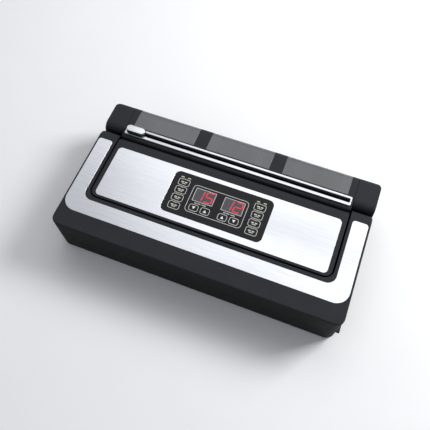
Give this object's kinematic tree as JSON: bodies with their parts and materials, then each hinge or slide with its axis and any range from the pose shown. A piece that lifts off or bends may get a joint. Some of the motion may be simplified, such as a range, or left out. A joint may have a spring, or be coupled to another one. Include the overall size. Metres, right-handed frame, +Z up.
{
  "type": "vacuum sealer",
  "caption": "Counter-top vacuum sealer: U-shaped hinged lid with steel trim round a fixed control console, and a roll compartment with a windowed cover and sliding cutter.",
  "frame": {"origin": "on the table under the centre of the machine", "axes": "+X to the right seen from the front, +Y to the rear, +Z up; the front faces -Y"},
  "size_m": [0.414, 0.217, 0.0827],
  "materials": {
    "housing_black": "satin moulded ABS",
    "inner_black": "matt moulded ABS",
    "brushed_steel": "fine brushed",
    "rail_silver": "satin anodised",
    "knob_silver": "satin chrome",
    "panel_gloss": "gloss membrane overlay",
    "display_window": "smoked filter",
    "smoked_clear": "smoked clear plastic",
    "rubber": "matt",
    "silicone": "matt silicone",
    "glass_tape": "coated glass cloth",
    "steel_part": "plain",
    "white_moulding": "natural nylon",
    "circuit_board": "solder resist",
    "motor_can": "zinc plated",
    "transformer_core": "varnished laminations"
  },
  "bodies": {
    "base": {"base_tub": "housing_black", "console_housing": "housing_black", "end_cap_right": "housing_black", "end_cap_left": "housing_black", "chassis": "inner_black", "roll_tray": "inner_black", "drip_tray": "inner_black", "console_plate": "brushed_steel", "control_overlay": "panel_gloss", "mains_inlet": "panel_gloss", "display_right": "display_window", "display_left": "display_window", "foot_front_right": "rubber", "foot_front_left": "rubber", "foot_rear_right": "rubber", "foot_rear_left": "rubber", "lower_gasket": "rubber", "element_tape": "glass_tape", "case_screw_1": "steel_part", "case_screw_2": "steel_part", "case_screw_3": "steel_part", "case_screw_4": "steel_part", "heating_element": "steel_part", "lid_hinge_pin_right": "steel_part", "lid_hinge_pin_left": "steel_part", "heater_bar": "white_moulding", "pump_head_right": "white_moulding", "pump_head_left": "white_moulding", "vacuum_hose": "white_moulding", "release_valve": "white_moulding", "control_board": "circuit_board", "power_board": "circuit_board", "pump_motor": "motor_can", "transformer": "transformer_core"},
    "lid": {"lid_shell": "housing_black", "lid_trim": "brushed_steel", "lid_liner": "inner_black", "upper_gasket": "rubber", "press_strip": "silicone"},
    "cover": {"cover_frame": "housing_black", "window_left": "smoked_clear", "window_middle": "smoked_clear", "window_right": "smoked_clear", "cutter_rail": "rail_silver", "cover_pin_right": "steel_part", "cover_pin_left": "steel_part"},
    "cutter": {"cutter_slider": "housing_black", "cutter_knob": "knob_silver", "blade_holder": "white_moulding", "cutter_blade": "steel_part"},
    "right_button": {"release_button_right": "housing_black", "latch_hook_right": "white_moulding", "button_spring_right": "steel_part"},
    "left_button": {"release_button_left": "housing_black", "latch_hook_left": "white_moulding", "button_spring_left": "steel_part"}
  },
  "joints": [
    {"name": "lid_hinge", "type": "hinge", "parent": "base", "child": "lid", "pos_m": [0, 0.042, 0.059], "axis": [-1, 0, 0], "range_deg": [0, 70]},
    {"name": "cover_hinge", "type": "hinge", "parent": "base", "child": "cover", "pos_m": [0, 0.105, 0.054], "axis": [-1, 0, 0], "range_deg": [0, 85]},
    {"name": "cutter_slide", "type": "slide", "parent": "cover", "child": "cutter", "axis": [1, 0, 0], "range_m": [0, 0.305]},
    {"name": "right_button_slide", "type": "slide", "parent": "base", "child": "right_button", "axis": [-1, 0, 0], "range_m": [0, 0.003], "stiffness_N_per_m": 700, "springref_m": -0.003, "deforming": ["button_spring_right"]},
    {"name": "left_button_slide", "type": "slide", "parent": "base", "child": "left_button", "axis": [1, 0, 0], "range_m": [0, 0.003], "stiffness_N_per_m": 700, "springref_m": -0.003, "deforming": ["button_spring_left"]}
  ]
}
